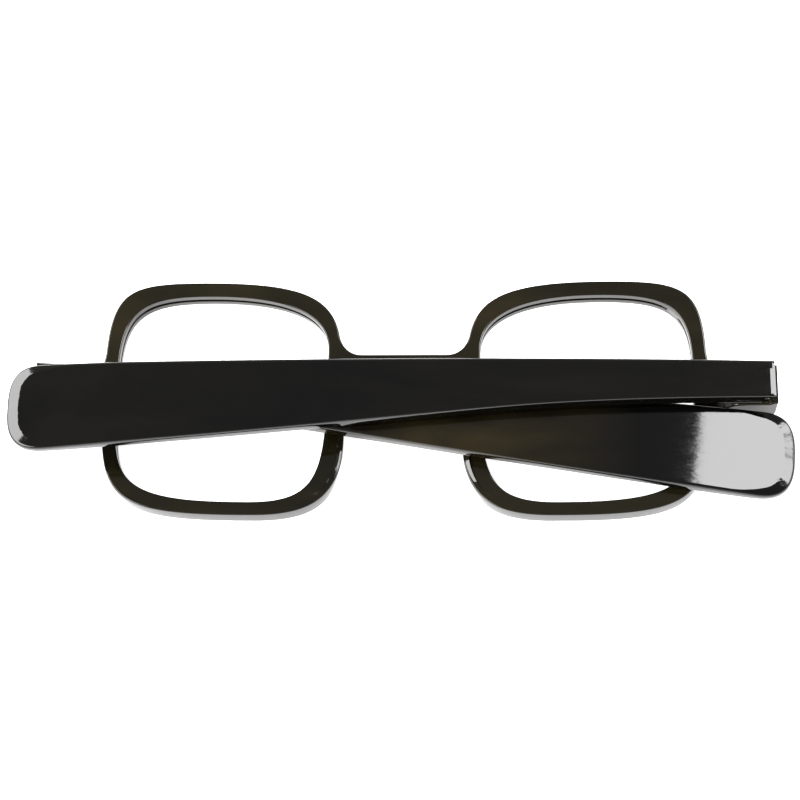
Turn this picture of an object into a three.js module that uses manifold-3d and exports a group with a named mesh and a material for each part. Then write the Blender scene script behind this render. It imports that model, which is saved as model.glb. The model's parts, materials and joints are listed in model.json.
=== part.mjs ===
// Eyeglasses frame of thick polished acetate, lying lens-down with its temples folded one over the other.
// Millimetres. +X runs from the wearer's left to the wearer's right, +Y is the top of the frame and +Z is
// the wearer's side. The origin is the middle of the bridge on the front face, which is the plane z = 0.

import * as THREE from 'three';
import { mergeVertices } from 'three/addons/utils/BufferGeometryUtils.js';
import Module from 'manifold-3d';

const wasm = await Module();
wasm.setup();

// ---------------------------------------------------------------- driving dimensions

const frontThickness = 4.0;
const frontHalfWidth = 71.85;
const edgeBevel = 0.45;

// Lens opening and outer edge of the rim on the +X side. Each of the four extreme points lies on a level or
// upright tangent, and each corner between two of them is one cubic curve whose handles reach the given
// share of the way to the corner of its box.
const lensShape = {
  top: new THREE.Vector2(38.5, 16.9),
  nasal: new THREE.Vector2(14.9, 4.9),
  bottom: new THREE.Vector2(29.5, -25.8),
  temporal: new THREE.Vector2(56.1, 0.6),
  topToNasal: [1.03, 0.19],
  nasalToBottom: [0.79, 1.0],
  bottomToTemporal: [1.07, 0.8],
  temporalToTop: [0.85, 0.77],
};
const rimShape = {
  top: new THREE.Vector2(40.0, 19.9),
  nasal: new THREE.Vector2(12.2, 2.0),
  bottom: new THREE.Vector2(28.6, -28.5),
  temporal: new THREE.Vector2(58.9, -2.35),
  topToNasal: [0.84, 0.76],
  nasalToBottom: [0.65, 1.2],
  bottomToTemporal: [0.96, 0.88],
  temporalToTop: [0.91, 0.91],
};
const stepsPerCorner = 18;
const grooveDepth = 0.5;
const grooveWidth = 1.0;

const bridgeHalfHeight = 4.45;
const bridgeFlatHalfWidth = 8.4;
const bridgeArchRise = 1.6;
const bridgeFillet = 3.8;

const padHeight = 1.0;
const padBevel = 0.8;

const endPieceTop = 0.5;
const endPieceBottom = -7.35;
const endPieceFillet = 2.6;
const endPieceRound = 2.2;
const endPieceLand = 0.8;

const temple = {
  length: 145.3,
  thickness: 3.8,
  tipThickness: 3.0,
  rootHeight: 7.7,
  tipHeight: 17.1,
  topRise: 0.95,
  bevel: 0.7,
  endLand: 0.8,
  endReach: 1.3,
};

// The hinge axis lies inside the temple's thickness, this far in from its outer face.
const axisFromOuterFace = 2.1;
const hinge = {
  x: frontHalfWidth - axisFromOuterFace,
  y: -3.6,
  z: 9.4,
  barrelRadius: 1.15,
  pocketRadius: 1.45,
  boreRadius: 0.75,
  endBarrelLength: 1.5,
  middleBarrelLength: 2.0,
  barrelGap: 0.3,
  plateThickness: 0.9,
  plateHeight: 4.6,
  frontPlateDepth: 5.6,
  templePlateLength: 9.0,
};
const screw = { shaftRadius: 0.6, headRadius: 1.0, headHeight: 0.6, slotWidth: 0.3, slotDepth: 0.3 };
const fitGap = 0.3;
const coreWire = { length: 118, thickness: 1.0, height: 2.4, startGap: 0.6 };

// Each temple folds in its own plane: slope is how far it leans down from level, and lift how far its tip
// stands up from the plane of the front. The +X temple lies over the other one.
const sides = [
  { name: 'right', mirror: 1, slope: 0.4, lift: 1.75 },
  { name: 'left', mirror: -1, slope: 3.3, lift: -1.45 },
];

// ---------------------------------------------------------------- solids

function toSolid(geometry) {
  const bare = geometry.index ? geometry.toNonIndexed() : geometry.clone();
  bare.deleteAttribute('normal');
  bare.deleteAttribute('uv');
  const merged = mergeVertices(bare, 1e-4);
  const corners = merged.getAttribute('position').array;
  return new wasm.Manifold(
    new wasm.Mesh({
      numProp: 3,
      vertProperties: new Float32Array(corners),
      triVerts: new Uint32Array(merged.index.array),
    }),
  );
}

function toGeometry(solid) {
  const mesh = solid.getMesh();
  const geometry = new THREE.BufferGeometry();
  geometry.setAttribute('position', new THREE.BufferAttribute(new Float32Array(mesh.vertProperties), 3));
  geometry.setIndex(new THREE.BufferAttribute(new Uint32Array(mesh.triVerts), 1));
  return geometry;
}

function mirrored(geometry) {
  const flipped = geometry.clone().scale(-1, 1, 1);
  const index = flipped.index.array;
  for (let i = 0; i < index.length; i += 3) {
    const second = index[i + 1];
    index[i + 1] = index[i + 2];
    index[i + 2] = second;
  }
  return flipped;
}

// A closed solid through rings of points that have the same count, with flat ends.
function loft(rings) {
  const count = rings[0].length;
  const positions = rings.flat().flatMap((p) => [p.x, p.y, p.z]);
  const faces = [];
  for (let r = 0; r < rings.length - 1; r += 1) {
    for (let i = 0; i < count; i += 1) {
      const a = r * count + i;
      const b = r * count + ((i + 1) % count);
      faces.push(a, b, b + count, a, b + count, a + count);
    }
  }
  const flat = rings[0].map((p) => new THREE.Vector2(p.x, p.y));
  const last = (rings.length - 1) * count;
  for (const [a, b, c] of THREE.ShapeUtils.triangulateShape(flat, [])) {
    faces.push(c, b, a, last + a, last + b, last + c);
  }
  const geometry = new THREE.BufferGeometry();
  geometry.setAttribute('position', new THREE.Float32BufferAttribute(positions, 3));
  geometry.setIndex(faces);
  return geometry;
}

function box(x0, x1, y0, y1, z0, z1) {
  const geometry = new THREE.BoxGeometry(x1 - x0, y1 - y0, z1 - z0);
  return geometry.translate((x0 + x1) / 2, (y0 + y1) / 2, (z0 + z1) / 2);
}

// A cylinder whose axis lies along Y, from y0 to y1.
function rod(radius, y0, y1, sidesAround = 24) {
  return new THREE.CylinderGeometry(radius, radius, y1 - y0, sidesAround).translate(0, (y0 + y1) / 2, 0);
}

// A shape drawn in X and Z, made solid from y0 to y1 with bevelled edges.
function slab(shape, y0, y1, bevel) {
  const geometry = new THREE.ExtrudeGeometry(shape, {
    depth: y1 - y0 - 2 * bevel,
    bevelEnabled: bevel > 0,
    bevelThickness: bevel,
    bevelSize: bevel,
    bevelOffset: -bevel,
    bevelSegments: 2,
    curveSegments: 8,
  });
  return geometry.rotateX(Math.PI / 2).translate(0, y1 - bevel, 0);
}

// ---------------------------------------------------------------- outlines

function outlineOf({ top, nasal, bottom, temporal, ...handles }) {
  const corners = [
    [top, nasal, new THREE.Vector2(nasal.x, top.y), handles.topToNasal],
    [nasal, bottom, new THREE.Vector2(nasal.x, bottom.y), handles.nasalToBottom],
    [bottom, temporal, new THREE.Vector2(temporal.x, bottom.y), handles.bottomToTemporal],
    [temporal, top, new THREE.Vector2(temporal.x, top.y), handles.temporalToTop],
  ];
  return corners.flatMap(([from, to, corner, [leave, arrive]]) => {
    const first = from.clone().lerp(corner, leave);
    const second = to.clone().lerp(corner, arrive);
    return new THREE.CubicBezierCurve(from, first, second, to).getPoints(stepsPerCorner).slice(0, -1);
  });
}

// The outline moved outward by a distance along its own normals. It runs counter-clockwise.
function offset(outline, distance) {
  return outline.map((point, i) => {
    const before = outline[(i + outline.length - 1) % outline.length];
    const after = outline[(i + 1) % outline.length];
    const along = after.clone().sub(before).normalize();
    return new THREE.Vector2(point.x + along.y * distance, point.y - along.x * distance);
  });
}

const lens = outlineOf(lensShape);
const rim = outlineOf(rimShape);

function ring(outline, z) {
  return outline.map((p) => new THREE.Vector3(p.x, p.y, z));
}

// ---------------------------------------------------------------- front

function rimSolid() {
  const ease = edgeBevel * 0.3;
  const layers = [
    [edgeBevel, 0],
    [ease, ease],
    [0, edgeBevel],
    [0, frontThickness - edgeBevel],
    [ease, frontThickness - ease],
    [edgeBevel, frontThickness],
  ];
  return toSolid(loft(layers.map(([inset, z]) => ring(offset(rim, -inset), z))));
}

// The space that the lens opening takes, with its groove and its eased edges.
function openingSolid() {
  const past = 1;
  const middle = frontThickness / 2;
  const layers = [
    [edgeBevel, -past],
    [edgeBevel, 0],
    [0, edgeBevel],
    [0, middle - grooveWidth / 2],
    [grooveDepth, middle],
    [0, middle + grooveWidth / 2],
    [0, frontThickness - edgeBevel],
    [edgeBevel, frontThickness],
    [edgeBevel, frontThickness + past],
  ];
  return toSolid(loft(layers.map(([out, z]) => ring(offset(lens, out), z))));
}

function bridgeSolid() {
  const shape = new THREE.Shape();
  const top = bridgeHalfHeight;
  const flat = bridgeFlatHalfWidth;
  const side = flat + bridgeFillet + 0.5;
  const neck = top + bridgeFillet;
  const foot = -top - 7;
  shape.moveTo(-side - 2, foot);
  shape.lineTo(-side - 2, neck);
  shape.lineTo(-side, neck);
  shape.bezierCurveTo(-side + 0.4, neck - 2, -flat - 2.4, top, -flat, top);
  shape.lineTo(flat, top);
  shape.bezierCurveTo(flat + 2.4, top, side - 0.4, neck - 2, side, neck);
  shape.lineTo(side + 2, neck);
  shape.lineTo(side + 2, foot);
  shape.lineTo(side - 0.2, foot);
  shape.bezierCurveTo(side - 0.8, -top - 1.2, flat, -top + bridgeArchRise, 0, -top + bridgeArchRise);
  shape.bezierCurveTo(-flat, -top + bridgeArchRise, -side + 0.8, -top - 1.2, -side + 0.2, foot);
  shape.closePath();
  const geometry = new THREE.ExtrudeGeometry(shape, {
    depth: frontThickness - 2 * edgeBevel,
    bevelThickness: edgeBevel,
    bevelSize: edgeBevel,
    bevelOffset: -edgeBevel,
    bevelSegments: 2,
    curveSegments: 10,
  });
  return toSolid(geometry.translate(0, 0, edgeBevel));
}

// The flat web that runs from the rim out to the hinge block, with a fillet above and below.
function webSolid() {
  const inner = 50.0;
  const rimEdge = 58.6;
  const outer = 67.0;
  const shape = new THREE.Shape();
  shape.moveTo(inner, endPieceTop + 2 * endPieceFillet);
  shape.lineTo(rimEdge - 1, endPieceTop + 2 * endPieceFillet);
  shape.quadraticCurveTo(rimEdge, endPieceTop, rimEdge + endPieceFillet, endPieceTop);
  shape.lineTo(outer, endPieceTop);
  shape.lineTo(outer, endPieceBottom);
  shape.lineTo(rimEdge + endPieceFillet, endPieceBottom);
  shape.quadraticCurveTo(rimEdge, endPieceBottom, rimEdge - 2.6, endPieceBottom - 2.4 * endPieceFillet);
  shape.lineTo(inner, endPieceBottom - 2.4 * endPieceFillet);
  shape.closePath();
  const geometry = new THREE.ExtrudeGeometry(shape, {
    depth: frontThickness - 2 * edgeBevel,
    bevelThickness: edgeBevel,
    bevelSize: edgeBevel,
    bevelOffset: -edgeBevel,
    bevelSegments: 2,
    curveSegments: 8,
  });
  return toSolid(geometry.translate(0, 0, edgeBevel));
}

// The hinge block: its back is hollowed for the folded temple, and its outer wall ends in a narrow land that
// the open temple meets, with a slope at 45 degrees inside it.
const landZ = hinge.z - temple.endReach - 0.25;
const hollowZ = hinge.z - 2.3;

function hingeBlockSolid() {
  const slopeFoot = frontHalfWidth - endPieceLand - (landZ - hollowZ);
  const shape = new THREE.Shape();
  shape.moveTo(60.6, 0);
  shape.lineTo(frontHalfWidth - endPieceRound, 0);
  shape.quadraticCurveTo(frontHalfWidth, 0, frontHalfWidth, endPieceRound);
  shape.lineTo(frontHalfWidth, landZ);
  shape.lineTo(frontHalfWidth - endPieceLand, landZ);
  shape.lineTo(slopeFoot, hollowZ);
  shape.lineTo(64.6, hollowZ);
  shape.quadraticCurveTo(62.6, hollowZ, 60.6, frontThickness - 0.2);
  shape.closePath();
  return toSolid(slab(shape, endPieceBottom, endPieceTop, edgeBevel));
}

// A raised pad on the nose side of the rim, sloped towards the nose.
function nosePadSolid() {
  const shape = new THREE.Shape();
  shape.moveTo(13.2, -3.5);
  shape.quadraticCurveTo(12.0, -11, 13.5, -18.5);
  shape.quadraticCurveTo(14.8, -22.6, 19.4, -26);
  shape.quadraticCurveTo(16.9, -21.5, 15.7, -15);
  shape.quadraticCurveTo(14.4, -9, 14.5, -3.5);
  shape.closePath();
  const geometry = new THREE.ExtrudeGeometry(shape, {
    depth: frontThickness / 2,
    bevelThickness: padHeight,
    bevelSize: padBevel,
    bevelOffset: -padBevel * 0.25,
    bevelSegments: 2,
    curveSegments: 8,
  });
  return toSolid(geometry.translate(0, 0, frontThickness / 2));
}

// ---------------------------------------------------------------- hinge parts, in the hinge's own frame

// The hinge's own frame has its origin on the axis and Y along it. The folded temple runs along -X, and its outer
// face looks along +Z.
const barrelStart = hinge.middleBarrelLength / 2 + hinge.barrelGap;
const barrelEnd = barrelStart + hinge.endBarrelLength;

function bored(solid) {
  return solid.subtract(toSolid(rod(hinge.boreRadius, -2 * barrelEnd, 2 * barrelEnd)));
}

function frontLeaf() {
  const half = hinge.plateThickness / 2;
  const barrels = [
    [barrelStart, barrelEnd],
    [-barrelEnd, -barrelStart],
  ];
  const under = -hinge.pocketRadius - 0.15;
  let solid = toSolid(box(-half, half, -barrelEnd, barrelEnd, -hinge.frontPlateDepth, under));
  for (const [low, high] of barrels) {
    solid = solid.add(toSolid(rod(hinge.barrelRadius, low, high)));
    solid = solid.add(toSolid(box(-half, half, low, high, under - 0.1, 0)));
  }
  return bored(solid);
}

function templeLeaf() {
  const half = hinge.plateThickness / 2;
  const middle = hinge.middleBarrelLength / 2;
  const plateStart = -hinge.pocketRadius - 0.15;
  const plateHalfHeight = hinge.plateHeight / 2;
  const plateEnd = plateStart - hinge.templePlateLength;
  return bored(
    toSolid(rod(hinge.barrelRadius, -middle, middle))
      .add(toSolid(box(plateStart - 0.1, 0, -middle, middle, -half, half)))
      .add(toSolid(box(plateEnd, plateStart, -plateHalfHeight, plateHalfHeight, -half, half))),
  );
}

function hingeScrew() {
  const top = barrelEnd + 0.05;
  const head = top + screw.headHeight;
  const slot = box(-2, 2, head - screw.slotDepth, head + 1, -screw.slotWidth / 2, screw.slotWidth / 2);
  return toSolid(rod(screw.shaftRadius, -barrelEnd - 0.2, top + 0.1))
    .add(toSolid(rod(screw.headRadius, top, head)))
    .subtract(toSolid(slot));
}

// ---------------------------------------------------------------- temples, in the hinge's own frame

const outerFace = axisFromOuterFace;
const innerFace = axisFromOuterFace - temple.thickness;

// The side profile seen from outside: a straight spatula temple that widens towards a squared tip with round
// corners.
function templeProfile() {
  const top = temple.rootHeight / 2;
  const start = temple.endReach + 1;
  const tip = -temple.length;
  const tipTop = top - 0.6;
  const tipBottom = tipTop - temple.tipHeight;
  const rise = top + temple.topRise;
  const corner = 7.7;
  const shape = new THREE.Shape();
  shape.moveTo(start, top);
  shape.bezierCurveTo(-45, rise, -95, rise - 0.4, tip + 6.3, tipTop);
  shape.bezierCurveTo(tip + 2.5, tipTop - 0.1, tip, tipTop - corner * 0.4, tip, tipTop - corner);
  shape.lineTo(tip, tipBottom + corner);
  shape.bezierCurveTo(tip, tipBottom + corner * 0.4, tip + 2.7, tipBottom, tip + 6.7, tipBottom);
  shape.bezierCurveTo(tip + 20, tipBottom + 0.3, -64, -top - 3.2, -52, -top - 2.1);
  shape.bezierCurveTo(-38, -top - 0.8, -22, -top - 0.1, start, -top);
  shape.closePath();
  return shape;
}

// The body's inner face is flat, and its outer face comes in towards the tip.
function templeBlank() {
  const geometry = new THREE.ExtrudeGeometry(templeProfile(), {
    depth: temple.thickness - 2 * temple.bevel,
    bevelThickness: temple.bevel,
    bevelSize: temple.bevel,
    bevelOffset: -temple.bevel,
    bevelSegments: 2,
    curveSegments: 10,
  });
  geometry.translate(0, 0, innerFace + temple.bevel);
  const position = geometry.getAttribute('position');
  for (let i = 0; i < position.count; i += 1) {
    const share = THREE.MathUtils.clamp(-position.getX(i) / temple.length, 0, 1);
    const thickness = THREE.MathUtils.lerp(temple.thickness, temple.tipThickness, share);
    position.setZ(i, innerFace + ((position.getZ(i) - innerFace) * thickness) / temple.thickness);
  }
  return toSolid(geometry);
}

// What is cut off the end of the blank to leave a narrow land at the outer face and a slope at 45 degrees
// behind it.
function endCut() {
  const landFoot = outerFace - temple.endLand;
  const far = 6;
  const shape = new THREE.Shape();
  shape.moveTo(temple.endReach, outerFace + 1);
  shape.lineTo(temple.endReach, landFoot);
  shape.lineTo(temple.endReach - (landFoot - innerFace) - 1, innerFace - 1);
  shape.lineTo(far, innerFace - 1);
  shape.lineTo(far, outerFace + 1);
  shape.closePath();
  return toSolid(slab(shape, -10, 10, 0));
}

const channelStart = -hinge.pocketRadius - 0.15 - hinge.templePlateLength - coreWire.startGap;

function coreWireSolid() {
  const half = coreWire.thickness / 2;
  const high = coreWire.height / 2;
  return toSolid(box(channelStart - coreWire.length, channelStart, -high, high, -half, half));
}

// The slot that holds the hinge plate and runs on as the channel of the core wire.
function templeSlot() {
  const plateHalf = hinge.plateThickness / 2 + fitGap;
  const plateHigh = hinge.plateHeight / 2 + fitGap;
  const wireHalf = coreWire.thickness / 2 + fitGap;
  const wireHigh = coreWire.height / 2 + fitGap;
  const wireEnd = channelStart - coreWire.length - fitGap;
  return toSolid(box(channelStart, 3, -plateHigh, plateHigh, -plateHalf, plateHalf)).add(
    toSolid(box(wireEnd, channelStart + 1, -wireHigh, wireHigh, -wireHalf, wireHalf)),
  );
}

function templeSolid() {
  return templeBlank()
    .subtract(endCut())
    .subtract(toSolid(rod(hinge.pocketRadius, -8, 8)))
    .subtract(templeSlot());
}

// ---------------------------------------------------------------- assembly

function acetate(colour) {
  return new THREE.MeshStandardMaterial({ color: colour, roughness: 0.12, metalness: 0 });
}

function metal(colour) {
  return new THREE.MeshStandardMaterial({ color: colour, roughness: 0.3, metalness: 1 });
}

function named(name, geometry, material) {
  const mesh = new THREE.Mesh(geometry, material);
  mesh.name = name;
  return mesh;
}

function sided(solid, side) {
  const geometry = toGeometry(solid);
  return side.mirror > 0 ? geometry : mirrored(geometry);
}

function hingeFrame(side, lifted) {
  const frame = new THREE.Group();
  frame.position.set(side.mirror * hinge.x, hinge.y, hinge.z);
  const lift = lifted ? THREE.MathUtils.degToRad(side.lift) : 0;
  const slope = THREE.MathUtils.degToRad(side.slope);
  frame.rotation.set(0, side.mirror * lift, side.mirror * slope, 'ZYX');
  return frame;
}

// The pocket and slot that the front leaf needs, in the frame's own place for one side.
function frontPocket(side) {
  const half = hinge.plateThickness / 2 + fitGap;
  const high = barrelEnd + fitGap;
  const cut = toSolid(rod(hinge.pocketRadius, -8, 8)).add(
    toSolid(box(-half, half, -high, high, -hinge.frontPlateDepth - fitGap, 0)),
  );
  const placed = sided(cut, side);
  const frame = hingeFrame(side, false);
  frame.updateMatrix();
  return toSolid(placed.applyMatrix4(frame.matrix));
}

function frontSolid() {
  let solid = bridgeSolid();
  for (const side of sides) {
    for (const piece of [rimSolid(), webSolid(), hingeBlockSolid(), nosePadSolid()]) {
      solid = solid.add(toSolid(sided(piece, side)));
    }
  }
  for (const side of sides) {
    solid = solid.subtract(toSolid(sided(openingSolid(), side)));
    solid = solid.subtract(frontPocket(side));
  }
  return solid;
}

const glasses = new THREE.Group();
glasses.add(named('front_frame', toGeometry(frontSolid()), acetate(0x2a281c)));

for (const side of sides) {
  const fixed = hingeFrame(side, false);
  fixed.add(named(`${side.name}_hinge_front_leaf`, sided(frontLeaf(), side), metal(0x9a9a98)));
  fixed.add(named(`${side.name}_hinge_screw`, sided(hingeScrew(), side), metal(0xb4b2ac)));
  glasses.add(fixed);
  const folded = hingeFrame(side, true);
  folded.add(named(`${side.name}_temple`, sided(templeSolid(), side), acetate(0x1e1e1b)));
  folded.add(named(`${side.name}_hinge_temple_leaf`, sided(templeLeaf(), side), metal(0x9a9a98)));
  folded.add(named(`${side.name}_core_wire`, sided(coreWireSolid(), side), metal(0x8c8a84)));
  glasses.add(folded);
}

export default glasses;
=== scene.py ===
import json
import math

import bmesh
import bpy
import numpy as np
from mathutils import Matrix, Vector
from mathutils.geometry import tessellate_polygon


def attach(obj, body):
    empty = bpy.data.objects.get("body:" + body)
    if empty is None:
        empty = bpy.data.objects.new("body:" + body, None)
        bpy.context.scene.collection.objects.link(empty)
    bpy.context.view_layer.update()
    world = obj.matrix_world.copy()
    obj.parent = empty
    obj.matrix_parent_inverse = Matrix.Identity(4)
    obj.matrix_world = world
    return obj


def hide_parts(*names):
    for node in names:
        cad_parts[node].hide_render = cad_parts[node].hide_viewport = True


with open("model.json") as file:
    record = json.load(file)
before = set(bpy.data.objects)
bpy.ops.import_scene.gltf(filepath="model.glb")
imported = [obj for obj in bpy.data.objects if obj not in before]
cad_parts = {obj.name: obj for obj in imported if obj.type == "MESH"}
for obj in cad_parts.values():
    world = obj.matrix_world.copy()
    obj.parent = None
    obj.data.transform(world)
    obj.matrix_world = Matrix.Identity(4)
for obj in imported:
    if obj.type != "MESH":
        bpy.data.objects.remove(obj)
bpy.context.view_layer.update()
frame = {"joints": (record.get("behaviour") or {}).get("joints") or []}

# Shapes are drawn in millimetres, in the frame's own axes, and made in metres.
MM = 0.001

# ---------------------------------------------------------------- sizes

FRONT_THICKNESS = 4.0
FRONT_HALF_WIDTH = 71.85

# Lens opening and outer edge of the rim on the +X side: the extreme points to the top, the nose, the bottom
# and the temple, and how far the handles of the corner after each one reach towards the corner of its box.
LENS_POINTS = ((38.5, 16.9), (14.9, 4.9), (29.5, -25.8), (56.1, 0.6))
LENS_HANDLES = ((1.03, 0.19), (0.79, 1.0), (1.07, 0.8), (0.85, 0.77))
RIM_POINTS = ((40.0, 19.9), (12.2, 2.0), (28.6, -28.5), (58.9, -2.35))
RIM_HANDLES = ((0.84, 0.76), (0.65, 1.2), (0.96, 0.88), (0.91, 0.91))
GROOVE_DEPTH = 0.5
GROOVE_WIDTH = 1.0
OUTER_BEVEL = 0.3
LENS_BEVEL = 0.25

BRIDGE_TOP = 4.45
BRIDGE_BOTTOM = -2.85
BRIDGE_FLAT = 8.4

END_TOP = 0.5
END_BOTTOM = -7.35
END_FILLET = 62.2
END_PLATE = 68.0
BLOCK_START = 59.6
BLOCK_BACK = 64.9
BLOCK_CORNER = 2.6
BLOCK_LAND = 7.85
BLOCK_HOLLOW = 7.1

TEMPLE_LENGTH = 145.3
TEMPLE_THICKNESS = 3.8
TIP_THICKNESS = 3.0
ROOT_HEIGHT = 7.7
TIP_HEIGHT = 17.1
END_REACH = 1.3
END_LAND = 0.8
OUTER_FACE = 2.1
INNER_FACE = OUTER_FACE - TEMPLE_THICKNESS

POCKET_RADIUS = 1.4
PLATE_START = -1.6
PLATE_LENGTH = 9.0
PLATE_HALF_HEIGHT = 2.3
PLATE_HALF_THICKNESS = 0.45
BARREL_RADIUS = 1.15
BARREL_START = 1.3
BARREL_END = 2.8
FRONT_PLATE_DEPTH = 5.6
SCREW_RADIUS = 0.58
HEAD_RADIUS = 0.99
HEAD_HEIGHT = 0.6
SLOT_DEPTH = 0.3
WIRE_LENGTH = 118.0
WIRE_START = PLATE_START - PLATE_LENGTH - 0.6

SIDES = (
    {"name": "right", "mirror": 1, "lift": 1.75},
    {"name": "left", "mirror": -1, "lift": -1.45},
)

# ---------------------------------------------------------------- curves


def cubic(p0, p1, p2, p3, count):
    p0, p1, p2, p3 = (np.array(p, float) for p in (p0, p1, p2, p3))
    t = np.linspace(0, 1, count, endpoint=False)[:, None]
    return (1 - t) ** 3 * p0 + 3 * (1 - t) ** 2 * t * p1 + 3 * (1 - t) * t**2 * p2 + t**3 * p3


def run(*points, step=1.2):
    """Points along straight stretches, without the last one."""
    pieces = []
    for a, b in zip(points, points[1:]):
        a, b = np.array(a, float), np.array(b, float)
        count = max(1, round(float(np.linalg.norm(b - a)) / step))
        pieces.append(a + (b - a) * np.linspace(0, 1, count, endpoint=False)[:, None])
    return np.vstack(pieces)


def even(loop, step):
    """A closed loop with points at equal distances."""
    closed = np.vstack([loop, loop[:1]])
    lengths = np.r_[0, np.cumsum(np.linalg.norm(np.diff(closed, axis=0), axis=1))]
    count = max(8, round(lengths[-1] / step))
    at = np.linspace(0, lengths[-1], count, endpoint=False)
    return np.column_stack([np.interp(at, lengths, closed[:, k]) for k in (0, 1)])


def outward(loop):
    """Unit normals of a counter-clockwise loop."""
    along = np.roll(loop, -1, axis=0) - np.roll(loop, 1, axis=0)
    along /= np.linalg.norm(along, axis=1)[:, None]
    return np.column_stack([along[:, 1], -along[:, 0]])


def round_corner(corner, before, after, count=8):
    """A corner rounded between two points on its sides."""
    corner, before, after = (np.array(p, float) for p in (corner, before, after))
    return cubic(before, before + (corner - before) * 0.55, after + (corner - after) * 0.55, after, count)


# ---------------------------------------------------------------- meshes


class Shell:
    """Vertices and faces that are collected ring by ring."""

    def __init__(self):
        self.points = []
        self.faces = []

    def ring(self, points):
        start = len(self.points)
        self.points.extend(map(tuple, points))
        return range(start, start + len(points))

    def skin(self, low, high, inside_out=False):
        count = len(low)
        for i in range(count):
            j = (i + 1) % count
            face = (low[i], low[j], high[j], high[i])
            self.faces.append(face[::-1] if inside_out else face)

    def cap(self, loops, upward):
        """Closes a counter-clockwise loop, less the holes that the other loops bound."""
        if len(loops) == 1:
            self.faces.append(tuple(loops[0]) if upward else tuple(loops[0])[::-1])
            return
        flat = [[Vector((*self.points[i][:2], 0)) for i in loop] for loop in loops]
        index = [i for loop in loops for i in loop]
        faces = [tuple(index[k] for k in face) for face in tessellate_polygon(flat)]
        area = 0.0
        for face in faces:
            (ax, ay), (bx, by), (cx, cy) = (self.points[i][:2] for i in face)
            area += (bx - ax) * (cy - ay) - (by - ay) * (cx - ax)
        self.faces.extend(face if (area > 0) == upward else face[::-1] for face in faces)


def edge_profile(low, high, bevel, steps=6, further=()):
    """(inset, height) pairs from the lower face round the edge to the upper face."""
    angles = [math.pi / 2 * k / steps for k in range(steps + 1)]
    eased = [(bevel * (1 - math.cos(a)), bevel * (1 - math.sin(a))) for a in angles]
    eased += [(inset, 0) for inset in (bevel + 0.04, *further)]
    rising = [(inset, high - drop) for inset, drop in eased]
    falling = [(inset, low + drop) for inset, drop in eased[::-1]]
    return falling + rising


def plate(shell, outer, holes, profile, hole_profile=None, shift=None):
    """A plate with a shaped edge. shift moves the points of one ring."""
    loops = [(outer, -1, profile)] + [(hole, 1, hole_profile) for hole in holes]
    bottoms, tops = [], []
    for loop, sign, edge in loops:
        normal = outward(loop)
        rings = []
        for inset, z in edge:
            ring = np.column_stack([loop + normal * sign * inset, np.full(len(loop), z)])
            rings.append(shell.ring(shift(ring, inset, sign) if shift else ring))
        for low, high in zip(rings, rings[1:]):
            shell.skin(low, high, inside_out=sign > 0)
        bottoms.append(rings[0])
        tops.append(rings[-1])
    shell.cap(bottoms, upward=False)
    shell.cap(tops, upward=True)


def circle(radius, y, sides):
    """Points round the Y axis."""
    angles = [2 * math.pi * k / sides for k in range(sides)]
    return [(radius * math.cos(a), y, -radius * math.sin(a)) for a in angles]


def lathe(shell, profile, sides=40):
    """A solid of revolution about Y, from (radius, y) pairs that start and end on the axis."""
    rings = [shell.ring(circle(radius, y, sides)) for radius, y in profile[1:-1]]
    for low, high in zip(rings, rings[1:]):
        shell.skin(low, high)
    for ring, (_, y), flip in ((rings[0], profile[0], True), (rings[-1], profile[-1], False)):
        centre = shell.ring([(0, y, 0)])[0]
        for i in range(sides):
            face = (ring[i], ring[(i + 1) % sides], centre)
            shell.faces.append(face[::-1] if flip else face)


def make(name, shell, place=None):
    """A smooth-shaded object from a shell in millimetres, put in place by a matrix in millimetres."""
    points = np.array(shell.points, float)
    flip = False
    if place is not None:
        matrix = np.array(place)
        points = points @ matrix[:3, :3].T + matrix[:3, 3]
        flip = np.linalg.det(matrix[:3, :3]) < 0
    faces = [face[::-1] for face in shell.faces] if flip else shell.faces
    mesh = bpy.data.meshes.new(name)
    mesh.from_pydata((points * MM).tolist(), [], faces)
    mesh.validate()
    obj = bpy.data.objects.new(name, mesh)
    bpy.context.scene.collection.objects.link(obj)
    smooth(obj)
    return obj


def smooth(obj, sharp=35.0):
    obj.data.shade_smooth()
    obj.data.set_sharp_from_angle(angle=math.radians(sharp))


def apply_modifiers(obj):
    graph = bpy.context.evaluated_depsgraph_get()
    mesh = bpy.data.meshes.new_from_object(obj.evaluated_get(graph))
    obj.modifiers.clear()
    obj.data = mesh


def cut(obj, cutters):
    """Takes closed cutters out of an object and removes them."""
    for cutter in cutters:
        modifier = obj.modifiers.new("cut", "BOOLEAN")
        modifier.operation = "DIFFERENCE"
        modifier.solver = "EXACT"
        modifier.object = cutter
    apply_modifiers(obj)
    for cutter in cutters:
        bpy.data.objects.remove(cutter)
    smooth(obj)


def join(objects, name):
    """One object from several, keeping each face's material."""
    target = bmesh.new()
    for obj in objects:
        target.from_mesh(obj.data)
    mesh = bpy.data.meshes.new(name)
    target.to_mesh(mesh)
    target.free()
    for obj in objects:
        bpy.data.objects.remove(obj)
    joined = bpy.data.objects.new(name, mesh)
    bpy.context.scene.collection.objects.link(joined)
    return joined


def block(name, low, high, place=None):
    """A plain box used only as a cutter."""
    shell = Shell()
    (x0, y0, z0), (x1, y1, z1) = low, high
    bottom = shell.ring([(x0, y0, z0), (x1, y0, z0), (x1, y1, z0), (x0, y1, z0)])
    top = shell.ring([(x0, y0, z1), (x1, y0, z1), (x1, y1, z1), (x0, y1, z1)])
    shell.skin(bottom, top)
    shell.faces.append(tuple(bottom)[::-1])
    shell.faces.append(tuple(top))
    return make(name, shell, place)


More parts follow.
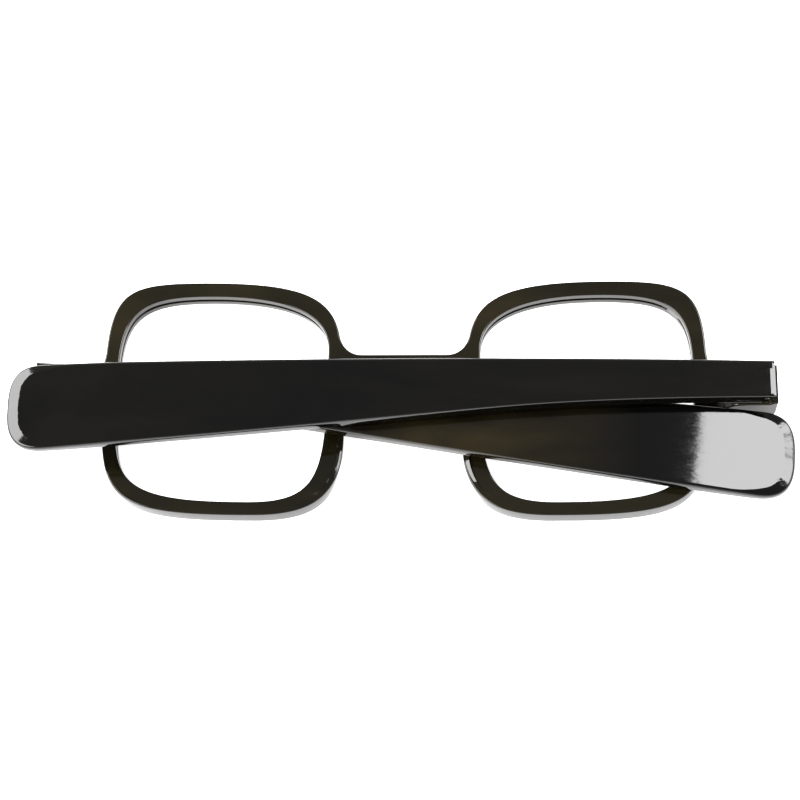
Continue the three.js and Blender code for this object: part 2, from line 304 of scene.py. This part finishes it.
def rod_cutter(name, radius, half_length, place):
    shell = Shell()
    lathe(shell, [(0, -half_length), (radius, -half_length), (radius, half_length), (0, half_length)], 48)
    return make(name, shell, place)


# ---------------------------------------------------------------- placing


def hinge_place(side, lifted):
    """The hinge's own frame: Y along the axis, the folded temple along -X and its outer face towards +Z."""
    joint = next(j for j in frame["joints"] if j["name"] == side["name"] + "_temple_hinge")
    mirror = side["mirror"]
    up = Vector(joint["axis"]) * mirror
    slope = math.atan2(-up.x, up.y)
    place = Matrix.Translation(Vector(joint["pos_m"]) / MM) @ Matrix.Rotation(slope, 4, "Z")
    if lifted:
        place = place @ Matrix.Rotation(mirror * math.radians(side["lift"]), 4, "Y")
    return place @ Matrix.Diagonal((mirror, 1, 1, 1))


def side_place(side):
    return Matrix.Diagonal((side["mirror"], 1, 1, 1))


# ---------------------------------------------------------------- materials


class Nodes:
    """A short way to build a node tree."""

    def __init__(self, tree):
        self.tree = tree
        tree.nodes.clear()

    def add(self, kind, inputs=(), **values):
        node = self.tree.nodes.new(kind)
        for key, value in values.items():
            setattr(node, key, value)
        for key, value in dict(inputs).items():
            if isinstance(value, bpy.types.NodeSocket):
                self.tree.links.new(value, node.inputs[key])
            else:
                node.inputs[key].default_value = value
        return node

    def ramp(self, factor, stops):
        node = self.add("ShaderNodeValToRGB", {"Fac": factor})
        elements = node.color_ramp.elements
        while len(elements) < len(stops):
            elements.new(0.5)
        for element, (position, colour) in zip(elements, stops):
            element.position = position
            element.color = (*colour, 1)
        return node.outputs["Color"]

    def spread(self, value, low, high):
        node = self.add("ShaderNodeMapRange", {"Value": value, "To Min": low, "To Max": high})
        return node.outputs["Result"]


def grown(nodes, coordinates, scale, detail=3.0, rough=0.5, stretch=(1, 1, 1), distort=0.0):
    """Noise in object space, with a scale in features per metre."""
    mapping = nodes.add("ShaderNodeMapping", {"Vector": coordinates, "Scale": stretch})
    noise = nodes.add(
        "ShaderNodeTexNoise",
        {"Vector": mapping.outputs["Vector"], "Scale": scale, "Detail": detail, "Roughness": rough,
         "Distortion": distort},
    )
    return noise.outputs["Fac"]


def acetate(name, dark, light, broad_wave, fine_wave, fade=None):
    """Polished cellulose acetate: deep colour, faint clouding, a hard gloss and a slightly wavy surface.

    fade gives the stretch along X, in metres, over which the clouding sinks back to the dark colour.
    """
    material = bpy.data.materials.new(name)
    material.use_nodes = True
    nodes = Nodes(material.node_tree)
    place = nodes.add("ShaderNodeTexCoord").outputs["Object"]
    cloud = grown(nodes, place, 70, 4, 0.55, (0.35, 1.0, 1.0), 0.6)
    between = [(a + b) / 2 for a, b in zip(dark, light)]
    colour = nodes.ramp(cloud, [(0.34, dark), (0.52, between), (0.68, light)])
    if fade:
        along = nodes.add("ShaderNodeSeparateXYZ", {"Vector": place}).outputs["X"]
        sunk = nodes.add("ShaderNodeMapRange", {"Value": along, "From Min": fade[0], "From Max": fade[1]})
        share = sunk.outputs["Result"]
        mix = nodes.add("ShaderNodeMixRGB", {"Fac": share, "Color1": colour, "Color2": (*dark, 1)})
        colour = mix.outputs["Color"]
    rub = grown(nodes, place, 900, 2, 0.6, (0.3, 1.0, 1.0))
    gloss = nodes.spread(rub, 0.03, 0.075)
    wave = grown(nodes, place, 160, 3, 0.6, (0.7, 1.0, 1.0), 1.0)
    ripple = grown(nodes, place, 1600, 3, 0.6, (0.2, 1.0, 1.0), 0.5)
    broad = nodes.add("ShaderNodeBump", {"Height": wave, "Strength": 1.0, "Distance": broad_wave * MM})
    fine = nodes.add(
        "ShaderNodeBump",
        {"Height": ripple, "Strength": 1.0, "Distance": fine_wave * MM, "Normal": broad.outputs["Normal"]},
    )
    shader = nodes.add(
        "ShaderNodeBsdfPrincipled",
        {"Base Color": colour, "Roughness": gloss, "IOR": 1.5, "Normal": fine.outputs["Normal"]},
    )
    nodes.add("ShaderNodeOutputMaterial", {"Surface": shader.outputs["BSDF"]})
    return material


def metal(name, dark, light, rough_low, rough_high, stretch):
    """Worked metal with fine drawn lines."""
    material = bpy.data.materials.new(name)
    material.use_nodes = True
    nodes = Nodes(material.node_tree)
    place = nodes.add("ShaderNodeTexCoord").outputs["Object"]
    lines = grown(nodes, place, 2500, 3, 0.6, stretch)
    patina = grown(nodes, place, 500, 3, 0.5)
    colour = nodes.ramp(patina, [(0.3, dark), (0.7, light)])
    gloss = nodes.spread(lines, rough_low, rough_high)
    bump = nodes.add("ShaderNodeBump", {"Height": lines, "Strength": 0.4, "Distance": 0.01 * MM})
    shader = nodes.add(
        "ShaderNodeBsdfPrincipled",
        {"Base Color": colour, "Metallic": 1.0, "Roughness": gloss, "Normal": bump.outputs["Normal"]},
    )
    nodes.add("ShaderNodeOutputMaterial", {"Surface": shader.outputs["BSDF"]})
    return material


FRONT_DARK = (0.0035, 0.0030, 0.0012)
FRONT_LIGHT = (0.0110, 0.0084, 0.0030)
TEMPLE_DARK = (0.0006, 0.0006, 0.0005)
TEMPLE_LIGHT = (0.0026, 0.0023, 0.0013)
TEMPLE_STREAK = (0.0120, 0.0088, 0.0028)
STREAK_FADE = (0.02, 0.045)
# How deep the polish waves, in millimetres: the broad waves and the fine ones.
FRONT_WAVES = (0.003, 0.001)
TEMPLE_WAVES = (0.007, 0.006)

FRONT_ACETATE = acetate("front_acetate", FRONT_DARK, FRONT_LIGHT, *FRONT_WAVES)
TEMPLE_ACETATES = {
    "right": acetate("temple_acetate", TEMPLE_DARK, TEMPLE_LIGHT, *TEMPLE_WAVES),
    "left": acetate("streaked_acetate", TEMPLE_DARK, TEMPLE_STREAK, *TEMPLE_WAVES, STREAK_FADE),
}
HINGE_METAL = metal("hinge_metal", (0.42, 0.41, 0.39), (0.66, 0.65, 0.62), 0.22, 0.42, (0.1, 1.0, 1.0))
SCREW_STEEL = metal("screw_steel", (0.5, 0.49, 0.47), (0.74, 0.73, 0.7), 0.15, 0.32, (1.0, 1.0, 0.15))
CORE_METAL = metal("core_metal", (0.4, 0.39, 0.36), (0.6, 0.58, 0.54), 0.25, 0.45, (0.05, 1.0, 1.0))


def finish_piece(obj, material, slot, body, *nodes):
    obj.data.materials.clear()
    obj.data.materials.append(material)
    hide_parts(*nodes)
    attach(obj, body)
    return obj


# ---------------------------------------------------------------- front


def rim_line(points, handles):
    pieces = []
    for k, (leave, arrive) in enumerate(handles):
        start, end = np.array(points[k]), np.array(points[(k + 1) % 4])
        corner = np.array([end[0], start[1]] if k % 2 == 0 else [start[0], end[1]])
        first = start + (corner - start) * leave
        second = end + (corner - end) * arrive
        pieces.append(cubic(start, first, second, end, 200))
    return even(np.vstack(pieces), 0.5)


def part_of(loop, start, end):
    """The part of a loop from near one point counter-clockwise to near another."""
    first = int(np.argmin(np.linalg.norm(loop - start, axis=1)))
    last = int(np.argmin(np.linalg.norm(loop - end, axis=1)))
    if last < first:
        last += len(loop)
    return np.array([loop[i % len(loop)] for i in range(first, last + 1)])


def front_outline():
    """The outer line on the +X side, from the middle of the bridge's lower edge to that of its upper one."""
    rim = rim_line(RIM_POINTS, RIM_HANDLES)
    below = part_of(rim, (12.6, -11.5), (58.3, -11.0))
    above = part_of(rim, (58.5, 5.2), (12.9, 8.3))
    return np.vstack([
        cubic((0, BRIDGE_BOTTOM), (BRIDGE_FLAT, BRIDGE_BOTTOM), below[0] + (-0.55, 5.6), below[0], 30),
        below[:-1],
        cubic(below[-1], below[-1] + (0.4, 2.3), (59.5, END_BOTTOM), (END_FILLET, END_BOTTOM), 14),
        run((END_FILLET, END_BOTTOM), (END_PLATE, END_BOTTOM), (END_PLATE, END_TOP), (END_FILLET, END_TOP)),
        cubic((END_FILLET, END_TOP), (59.6, END_TOP), above[0] + (0.25, -2.6), above[0], 14),
        above[:-1],
        cubic(above[-1], above[-1] + (-0.4, -2.0), (10.8, BRIDGE_TOP), (BRIDGE_FLAT, BRIDGE_TOP), 24),
        run((BRIDGE_FLAT, BRIDGE_TOP), (0, BRIDGE_TOP)),
    ])


def smoothstep(low, high, value):
    share = np.clip((value - low) / (high - low), 0, 1)
    return share * share * (3 - 2 * share)


# The nose pads: a facet on the nose side of each rim that leans towards the nose and ends in a ridge.
PAD_TOP = -4.0
PAD_FULL = -8.0
PAD_FADE = -17.0
PAD_FOOT = -27.0
PAD_RIDGE = 0.5
PAD_LIP = 0.1
PAD_REACH = 0.6
PAD_NOSE_SIDE = (8, 10)
PAD_LENS_SIDE = (20, 26)
FACET_START = 0.35
FACET_END = 1.05
FACET_FOOT = 1.2


def raise_pads(ring, inset, sign):
    x, y, z = ring[:, 0].copy(), ring[:, 1], ring[:, 2].copy()
    beside = smoothstep(*PAD_NOSE_SIDE, np.abs(x)) * (1 - smoothstep(*PAD_LENS_SIDE, np.abs(x)))
    weight = smoothstep(PAD_TOP, PAD_FULL, y) * (1 - smoothstep(PAD_FADE, PAD_FOOT, y)) * beside
    back = smoothstep(0.35, 1.0, z / FRONT_THICKNESS)
    if sign < 0:
        insets = (0, FACET_START, FACET_END, FACET_FOOT)
        facet = np.interp(inset, insets, (PAD_LIP, PAD_LIP, PAD_RIDGE, 0.0))
        ring[:, 0] = x - np.sign(x) * PAD_REACH * weight * smoothstep(0.0, 0.5, z / FRONT_THICKNESS)
        ring[:, 2] = z + facet * weight * back
    return ring


def front_plate():
    lens = rim_line(LENS_POINTS, LENS_HANDLES)
    half = front_outline()
    outer = even(np.vstack([half, half[::-1] * (-1, 1)]), 0.5)
    insets = (FACET_START, 0.6, 0.8, FACET_END, FACET_FOOT)
    profile = edge_profile(0.0, FRONT_THICKNESS, OUTER_BEVEL, further=insets)
    hole_profile = edge_profile(0.0, FRONT_THICKNESS, LENS_BEVEL, further=(0.5,))
    middle = FRONT_THICKNESS / 2
    half_count = len(hole_profile) // 2
    hole_profile[half_count:half_count] = [
        (0, middle - GROOVE_WIDTH / 2),
        (GROOVE_DEPTH, middle - 0.06),
        (GROOVE_DEPTH, middle + 0.06),
        (0, middle + GROOVE_WIDTH / 2),
    ]
    shell = Shell()
    plate(shell, outer, [lens, lens[::-1] * (-1, 1)], profile, hole_profile, shift=raise_pads)
    return make("front_plate", shell)


def hinge_block(side):
    """The deep block at the end of the front that the hinge is set in."""
    land, hollow = BLOCK_LAND, BLOCK_HOLLOW
    wide = FRONT_HALF_WIDTH
    inner = wide - END_LAND
    foot = inner - (land - hollow)
    corner = wide - BLOCK_CORNER
    back = (BLOCK_BACK, hollow)
    front_top = (60.0, FRONT_THICKNESS - 0.3)
    step = 0.35
    outline = np.vstack([
        run((BLOCK_START, 0.0), (corner, 0.0), step=step),
        round_corner((wide, 0.0), (corner, 0.0), (wide, BLOCK_CORNER), 16),
        run((wide, BLOCK_CORNER), (wide, land), (inner, land), (foot, hollow), back, step=step),
        cubic(back, (63.0, hollow), (62.6, 4.6), front_top, 12),
        run(front_top, (BLOCK_START, 0.0), step=step),
    ])
    shell = Shell()
    plate(shell, outline, [], edge_profile(-END_TOP - 0.02, -END_BOTTOM + 0.02, 0.3))
    # The outline is drawn in X and Z, and its depth runs down along -Y.
    turn = Matrix(((1, 0, 0, 0), (0, 0, -1, 0), (0, 1, 0, 0), (0, 0, 0, 1)))
    obj = make(side["name"] + "_block", shell, side_place(side) @ turn)
    place = hinge_place(side, lifted=False)
    cut(obj, [
        rod_cutter("pocket", POCKET_RADIUS, 9, place),
        block("slot", (-0.5, -3.0, -FRONT_PLATE_DEPTH - 0.1), (0.5, 3.0, 0.4), place),
    ])
    return obj


front = join([front_plate(), *[hinge_block(side) for side in SIDES]], "front_frame_body")
smooth(front)
finish_piece(front, FRONT_ACETATE, "front_acetate", "front", "front_frame")

# ---------------------------------------------------------------- temples


# Along the tip a broad chamfer follows the outer face's edge, and both faces curve in towards the front.
BAND_START = 133.0
BAND_END = 144.5
BAND_WIDTH = 2.3
BAND_DROP = 0.37
EDGE_WIDTH = 0.6
EDGE_DROP = 0.05
EDGE_ROUND = 0.5
EDGE_HEIGHT = 1.2
INNER_ROUND = 1.1
END_CHAMFER = 0.8
END_CHAMFER_TILT = 11.0
BEND_START = 117.0
BEND_SKEW = 0.2
OUTER_BEND = 0.0035
INNER_BEND = 0.0018
CROWN = 0.05
STEPS_ALONG = 280
STEPS_ACROSS = 44


def resample(line, count):
    """An open line with the given number of equal steps."""
    lengths = np.r_[0, np.cumsum(np.linalg.norm(np.diff(line, axis=0), axis=1))]
    at = np.linspace(0, lengths[-1], count + 1)
    return np.column_stack([np.interp(at, lengths, line[:, k]) for k in (0, 1)])


def temple_outline():
    """The outer line, counter-clockwise: up the root's end, along the top, round the tip and back below."""
    top = ROOT_HEIGHT / 2
    tip = -TEMPLE_LENGTH
    tip_top = top - 0.6
    tip_bottom = tip_top - TIP_HEIGHT
    corner = 7.7
    rise = top + 0.95
    over = (tip + 6.3, tip_top)
    beneath = (tip + 6.7, tip_bottom)
    waist = (-52, -top - 2.1)
    high_end = (tip, tip_top - corner)
    low_end = (tip, tip_bottom + corner)
    high_corner = cubic(over, (tip + 1.9, tip_top), (tip, tip_top - corner * 0.31), high_end, 60)
    low_corner = cubic(low_end, (tip, tip_bottom + corner * 0.31), (tip + 2.1, tip_bottom), beneath, 60)
    above = cubic((END_REACH, top), (-45, rise), (-95, rise - 0.4), over, 300)
    under = cubic(beneath, (tip + 20, tip_bottom + 0.3), (-64, -top - 3.2), waist, 200)
    root = cubic(waist, (-38, -top - 0.8), (-22, -top - 0.1), (END_REACH, -top), 120)
    sides = (
        (np.array([(END_REACH, -top), (END_REACH, top)]), STEPS_ACROSS),
        (np.vstack([above, high_corner[:31]]), STEPS_ALONG),
        (np.vstack([high_corner[30:], low_corner[:31]]), STEPS_ACROSS),
        (np.vstack([low_corner[30:], under, root, [(END_REACH, -top)]]), STEPS_ALONG),
    )
    return np.vstack([resample(line, count)[:-1] for line, count in sides])


def patch(loop):
    """A grid across a four-sided loop, blended from its sides, as rows from the root to the tip."""
    across, along = STEPS_ACROSS, STEPS_ALONG
    closed = np.vstack([loop, loop[:1]])
    root = closed[:across + 1]
    above = closed[across:across + along + 1]
    tip = closed[across + along:2 * across + along + 1][::-1]
    under = closed[2 * across + along:][::-1]
    u = np.linspace(0, 1, along + 1)[:, None, None]
    v = np.linspace(0, 1, across + 1)[None, :, None]
    between_ends = (1 - u) * root[None] + u * tip[None]
    between_edges = (1 - v) * under[:, None] + v * above[:, None]
    low = (1 - u) * root[0] + u * tip[0]
    high = (1 - u) * root[-1] + u * tip[-1]
    return between_ends + between_edges - (1 - v) * low - v * high


def add_patch(shell, ring, upward):
    """Closes a ring of points with the grid."""
    across, along = STEPS_ACROSS, STEPS_ALONG
    points = np.array([shell.points[i] for i in ring])
    grid = patch(points)
    index = np.zeros((along + 1, across + 1), int)
    index[0, :] = ring[:across + 1]
    index[:, across] = ring[across:across + along + 1]
    index[along, :] = ring[across + along:2 * across + along + 1][::-1]
    index[:, 0] = (list(ring[2 * across + along:]) + [ring[0]])[::-1]
    for row in range(1, along):
        index[row, 1:across] = shell.ring(grid[row, 1:across])
    for row in range(along):
        for k in range(across):
            face = (index[row, k], index[row, k + 1], index[row + 1, k + 1], index[row + 1, k])
            face = tuple(int(i) for i in face)
            shell.faces.append(face if upward else face[::-1])


def bend_temple(points):
    x, y, z = points.T
    share = np.clip(-x / TEMPLE_LENGTH, 0, 1)
    thickness = TEMPLE_THICKNESS + (TIP_THICKNESS - TEMPLE_THICKNESS) * share
    depth = (z - INNER_FACE) / TEMPLE_THICKNESS
    middle = -2.0 - 3.2 * share**2
    past = np.clip(-x - BEND_START - BEND_SKEW * (y - middle), 0, None) ** 2 / 2
    half = (ROOT_HEIGHT + (TIP_HEIGHT - ROOT_HEIGHT) * share**1.6) / 2
    crown = CROWN * np.clip((y - middle) / half, -1.2, 1.2) ** 2
    bend = INNER_BEND + (OUTER_BEND - INNER_BEND) * depth
    points[:, 2] = INNER_FACE + depth * (thickness - crown) - past * bend
    return points


def temple_shell():
    """The temple's solid: rings round its edge, a grid over each face, bent as a whole."""
    loop = temple_outline()
    normal = outward(loop)
    # At the root the rings close in on the sides only, so that the end stays flat for its mitre.
    root = slice(0, STEPS_ACROSS + 1)
    normal[root] = np.column_stack([np.full(STEPS_ACROSS + 1, 0.1), loop[root, 1] * 2 / ROOT_HEIGHT])
    share = smoothstep(BAND_START, BAND_END, -loop[:, 0])
    place = np.arange(len(loop)) * 0.5
    waves = ((0.05, 0.9, 0.0), (0.035, 2.3, 1.1), (0.03, 5.1, 0.4))
    uneven = sum(height * np.sin(place * pitch + start) for height, pitch, start in waves)
    width = EDGE_WIDTH + (BAND_WIDTH - EDGE_WIDTH + uneven) * share
    drop = EDGE_DROP + (BAND_DROP - EDGE_DROP) * share

    def edge(inset, z):
        return np.column_stack([loop - normal * np.reshape(inset, (-1, 1)), np.broadcast_to(z, len(loop))])

    shell = Shell()
    # The first half of the profile rounds the inner face's edge and reaches the wall.
    inner = edge_profile(INNER_FACE, OUTER_FACE, INNER_ROUND)
    rings = [shell.ring(edge(inset, z)) for inset, z in inner[:len(inner) // 2]]
    for k in range(9):
        angle = math.pi / 2 * k / 8
        inset = EDGE_ROUND * (1 - math.cos(angle))
        rings.append(shell.ring(edge(inset, OUTER_FACE - drop - EDGE_HEIGHT * (1 - math.sin(angle)))))
    for part in (0.12, 0.5, 0.92, 1.0):
        inset = EDGE_ROUND + (width - EDGE_ROUND) * part
        rings.append(shell.ring(edge(inset, OUTER_FACE - drop * (1 - part))))
    rings.append(shell.ring(edge(width + 0.12, OUTER_FACE)))
    for low, high in zip(rings, rings[1:]):
        shell.skin(low, high)
    add_patch(shell, rings[0], upward=False)
    add_patch(shell, rings[-1], upward=True)
    shell.points = bend_temple(np.array(shell.points)).tolist()
    return shell


def temple(side):
    place = hinge_place(side, lifted=True)
    obj = make(side["name"] + "_temple_body", temple_shell(), place)

    foot = OUTER_FACE - END_LAND
    back = INNER_FACE - 1
    mitre = Shell()
    slope_end = END_REACH - (foot - INNER_FACE) - 1
    corners = [(END_REACH + 1, foot), (END_REACH, foot), (slope_end, back), (7, back)]
    low = mitre.ring([(x, -9, z) for x, z in corners])
    high = mitre.ring([(x, 9, z) for x, z in corners])
    mitre.skin(low, high, inside_out=True)
    mitre.faces.append(tuple(low))
    mitre.faces.append(tuple(high)[::-1])
    wire_end = WIRE_START - WIRE_LENGTH - 0.3
    chamfer = Matrix.Translation((END_REACH - END_CHAMFER, 0, OUTER_FACE))
    chamfer = chamfer @ Matrix.Rotation(math.radians(END_CHAMFER_TILT), 4, "Y")
    cut(obj, [
        make("mitre", mitre, place),
        block("chamfer", (0, -9, 0), (3, 9, 2), place @ chamfer),
        rod_cutter("pocket", POCKET_RADIUS, 9, place),
        block("slot", (PLATE_START - PLATE_LENGTH - 0.3, -2.4, -0.52), (3, 2.4, 0.52), place),
        block("channel", (wire_end, -1.3, -0.6), (PLATE_START - PLATE_LENGTH, 1.3, 0.6), place),
    ])
    return obj


# ---------------------------------------------------------------- hinges


def barrel(place, y0, y1):
    """A hinge barrel with eased ends and a bore."""
    shell = Shell()
    ease = 0.12
    bore = 0.62
    sides = 40
    profile = [
        (bore, y0),
        (BARREL_RADIUS - ease, y0),
        (BARREL_RADIUS - ease * 0.3, y0 + ease * 0.3),
        (BARREL_RADIUS, y0 + ease),
        (BARREL_RADIUS, y1 - ease),
        (BARREL_RADIUS - ease * 0.3, y1 - ease * 0.3),
        (BARREL_RADIUS - ease, y1),
        (bore, y1),
    ]
    rings = [shell.ring(circle(radius, y, sides)) for radius, y in profile]
    for low, high in zip(rings, rings[1:] + rings[:1]):
        shell.skin(low, high)
    return make("barrel", shell, place)


def leaf_plate(name, low, high, place, radius=0.4, bevel=0.1):
    """A rounded flat plate from one corner to the other, thin along X or Z, whichever is the shorter."""
    (x0, y0, z0), (x1, y1, z1) = low, high
    shell = Shell()
    thin_x = x1 - x0 < z1 - z0
    a0, a1 = (z0, z1) if thin_x else (x0, x1)
    outline = np.vstack([
        round_corner((a1, y0), (a1 - radius, y0), (a1, y0 + radius), 6),
        round_corner((a1, y1), (a1, y1 - radius), (a1 - radius, y1), 6),
        round_corner((a0, y1), (a0 + radius, y1), (a0, y1 - radius), 6),
        round_corner((a0, y0), (a0, y0 + radius), (a0 + radius, y0), 6),
    ])
    depth = (x0, x1) if thin_x else (z0, z1)
    plate(shell, outline, [], edge_profile(*depth, bevel, steps=3))
    turn = Matrix(((0, 0, 1, 0), (0, 1, 0, 0), (1, 0, 0, 0), (0, 0, 0, 1))) if thin_x else Matrix()
    return make(name, shell, place @ turn)


def front_leaf(side):
    place = hinge_place(side, lifted=False)
    half = PLATE_HALF_THICKNESS
    under = -POCKET_RADIUS - 0.1
    low = (-half, -BARREL_END, -FRONT_PLATE_DEPTH)
    pieces = [leaf_plate("leaf", low, (half, BARREL_END, under), place)]
    for y0, y1 in ((BARREL_START, BARREL_END), (-BARREL_END, -BARREL_START)):
        pieces.append(barrel(place, y0, y1))
        low = (-half, y0 + 0.06, under - 0.4)
        pieces.append(leaf_plate("neck", low, (half, y1 - 0.06, -0.8), place, 0.1, 0.08))
    return join(pieces, side["name"] + "_front_leaf")


def temple_leaf(side):
    place = hinge_place(side, lifted=True)
    half = PLATE_HALF_THICKNESS
    end = PLATE_START - PLATE_LENGTH
    pieces = [
        leaf_plate("leaf", (end, -PLATE_HALF_HEIGHT, -half), (PLATE_START, PLATE_HALF_HEIGHT, half), place),
        barrel(place, -1.0, 1.0),
        leaf_plate("neck", (PLATE_START - 0.4, -0.94, -half), (-0.8, 0.94, half), place, 0.1, 0.08),
    ]
    return join(pieces, side["name"] + "_temple_leaf")


def screw(side):
    place = hinge_place(side, lifted=False)
    top = BARREL_END + 0.05
    head = top + HEAD_HEIGHT
    foot = -BARREL_END - 0.2
    shell = Shell()
    lathe(shell, [
        (0, foot),
        (0.45, foot),
        (SCREW_RADIUS, foot + 0.12),
        (SCREW_RADIUS, top),
        (HEAD_RADIUS - 0.06, top),
        (HEAD_RADIUS, top + 0.06),
        (HEAD_RADIUS, head - 0.2),
        (HEAD_RADIUS - 0.06, head - 0.08),
        (0.8, head - 0.01),
        (0.4, head),
        (0, head),
    ])
    obj = make(side["name"] + "_screw", shell, place)
    cut(obj, [block("slot", (-2, head - SLOT_DEPTH, -0.14), (2, head + 1, 0.14), place)])
    return obj


def core_wire(side):
    place = hinge_place(side, lifted=True)
    low = (WIRE_START - WIRE_LENGTH, -1.2, -0.5)
    high = (WIRE_START, 1.2, 0.5)
    return leaf_plate(side["name"] + "_wire", low, high, place, 0.5, 0.2)


for side in SIDES:
    name = side["name"]
    arm = name + "_temple_arm"
    finish_piece(temple(side), TEMPLE_ACETATES[name], "temple_acetate", arm, name + "_temple")
    leaf = front_leaf(side)
    smooth(leaf, 30)
    finish_piece(leaf, HINGE_METAL, "hinge_metal", "front", name + "_hinge_front_leaf")
    leaf = temple_leaf(side)
    smooth(leaf, 30)
    finish_piece(leaf, HINGE_METAL, "hinge_metal", arm, name + "_hinge_temple_leaf")
    finish_piece(screw(side), SCREW_STEEL, "screw_steel", "front", name + "_hinge_screw")
    finish_piece(core_wire(side), CORE_METAL, "core_wire", arm, name + "_core_wire")

# ---------------------------------------------------------------- floor, light and camera


def floor():
    shell = Shell()
    count = 96
    turn = np.arange(count) * 2 * math.pi / count
    disc = np.column_stack([np.cos(turn), np.sin(turn), np.zeros(count)])
    rings = [shell.ring(disc * radius) for radius in (60, 200, 700, 2500, 9000)]
    shell.faces.append(tuple(rings[0]))
    for inner, outer in zip(rings, rings[1:]):
        shell.skin(inner, outer, inside_out=True)
    obj = make("floor", shell)
    obj.location.z = -0.05 * MM
    material = bpy.data.materials.new("floor")
    material.use_nodes = True
    nodes = Nodes(material.node_tree)
    place = nodes.add("ShaderNodeTexCoord").outputs["Object"]
    tone = nodes.ramp(grown(nodes, place, 40, 2), [(0.3, (0.74, 0.74, 0.74)), (0.7, (0.78, 0.78, 0.78))])
    shader = nodes.add(
        "ShaderNodeBsdfPrincipled",
        {"Base Color": tone, "Roughness": 0.9, "Specular IOR Level": 0.1, "Emission Color": tone,
         "Emission Strength": 1.2},
    )
    nodes.add("ShaderNodeOutputMaterial", {"Surface": shader.outputs["BSDF"]})
    obj.data.materials.append(material)


def softbox(name, centre, toward, width, depth, radiance):
    """A rectangular soft light. Its power follows from how bright its face looks."""
    data = bpy.data.lights.new(name, "AREA")
    data.shape = "RECTANGLE"
    data.size = width
    data.size_y = depth
    data.energy = radiance * math.pi * width * depth
    obj = bpy.data.objects.new(name, data)
    bpy.context.scene.collection.objects.link(obj)
    obj.location = centre
    obj.rotation_mode = "QUATERNION"
    obj.rotation_quaternion = (Vector(centre) - Vector(toward)).to_track_quat("Z", "Y")


def studio():
    """A pale room with a dark ceiling, two high soft lights towards +X and one lower towards -X."""
    world = bpy.data.worlds.new("studio")
    bpy.context.scene.world = world
    world.use_nodes = True
    nodes = Nodes(world.node_tree)
    place = nodes.add("ShaderNodeTexCoord").outputs["Generated"]
    height = nodes.add("ShaderNodeSeparateXYZ", {"Vector": place}).outputs["Z"]
    tone = nodes.ramp(height, [(0.0, (0.8, 0.8, 0.8)), (0.45, (0.7, 0.7, 0.7)), (0.8, (0.25, 0.25, 0.26))])
    back = nodes.add("ShaderNodeBackground", {"Color": tone, "Strength": 1.0})
    nodes.add("ShaderNodeOutputWorld", {"Surface": back.outputs["Background"]})
    softbox("high_softbox", (1.90, 1.5, 4.0), (1.90, 1.5, 0.0), 2.0, 1.8, 15.0)
    softbox("far_softbox", (3.57, 1.55, 4.0), (3.57, 1.55, 0.0), 1.25, 2.7, 8.5)
    softbox("left_softbox", (-2.21, 0.0, 2.03), (0, 0, 0), 5.0, 1.9, 12.0)


def camera():
    """The viewpoint: from above the lower edge of the frame, turned slightly towards +X."""
    data = bpy.data.cameras.new("camera")
    data.sensor_width = 36.0
    data.lens = 104.3
    obj = bpy.data.objects.new("camera", data)
    bpy.context.scene.collection.objects.link(obj)
    back = Vector((0.0508, -0.3504, 0.9352)).normalized()
    target = Vector((-0.65, -5.09, 4.0)) * MM
    right = (-back).cross(Vector((0, 1, 0))).normalized()
    up = right.cross(-back)
    roll = math.radians(0.965)
    across = right * math.cos(roll) + up * math.sin(roll)
    upward = up * math.cos(roll) - right * math.sin(roll)
    rotation = Matrix((across, upward, back)).transposed().to_4x4()
    obj.matrix_world = Matrix.Translation(target + back * 0.45) @ rotation
    data.clip_start = 0.01
    data.clip_end = 50
    bpy.context.scene.camera = obj
    bpy.context.scene.view_settings.view_transform = "Standard"


floor()
studio()
camera()
